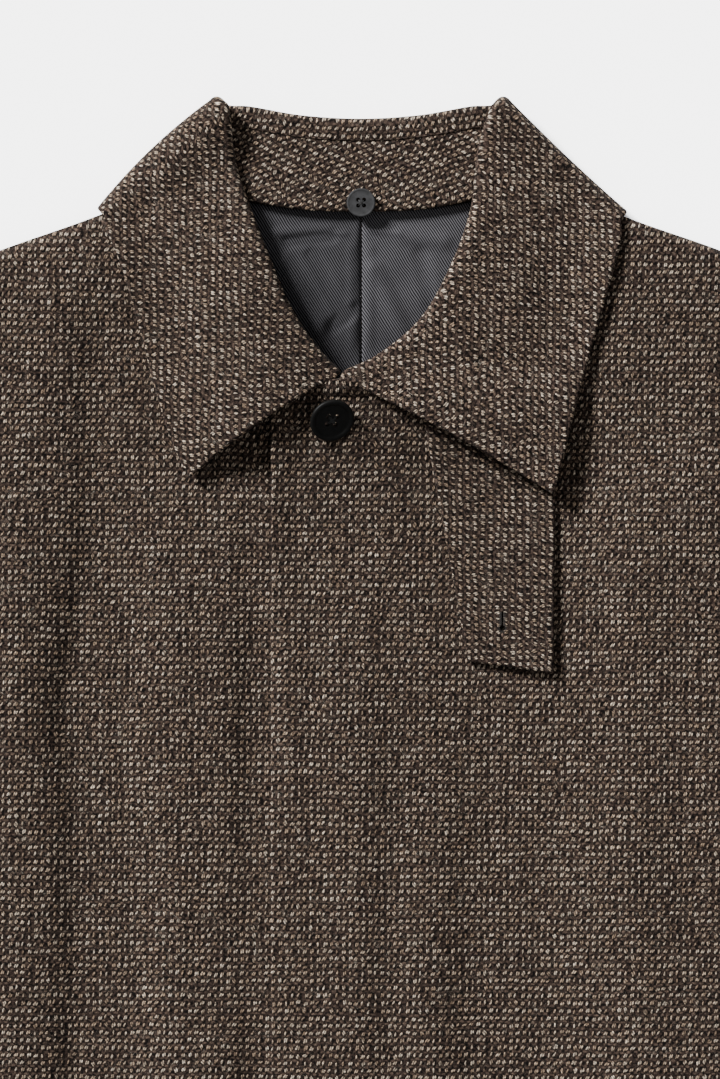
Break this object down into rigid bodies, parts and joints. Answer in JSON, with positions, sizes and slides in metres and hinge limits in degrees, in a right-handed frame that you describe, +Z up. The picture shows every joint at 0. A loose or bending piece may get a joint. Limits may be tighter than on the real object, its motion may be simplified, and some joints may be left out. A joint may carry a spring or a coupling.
{
  "type": "balmacaan coat",
  "caption": "Long tweed overcoat laid flat on its back, pointed collar turned down, neck open, fly front fastened by one button at the throat.",
  "frame": {"origin": "centre of the bounding box, on the surface that the coat lies on", "axes": "+Y up the coat from the hem to the collar, +X to the viewer's right (the wearer's left side), +Z up off the surface"},
  "size_m": [1.056, 1.0998, 0.026],
  "materials": {
    "tweed": "coarse napped wool",
    "lining": "satin twill",
    "button_black": "satin",
    "button_grey": "matte"
  },
  "bodies": {
    "root": {"back": "tweed", "front_right": "tweed", "front_left": "tweed", "sleeve_right": "tweed", "sleeve_left": "tweed", "collar": "tweed", "collar_band": "tweed", "lining_right": "lining", "lining_left": "lining", "throat_tab": "tweed", "top_button": "button_black", "neck_button": "button_grey"}
  },
  "joints": []
}
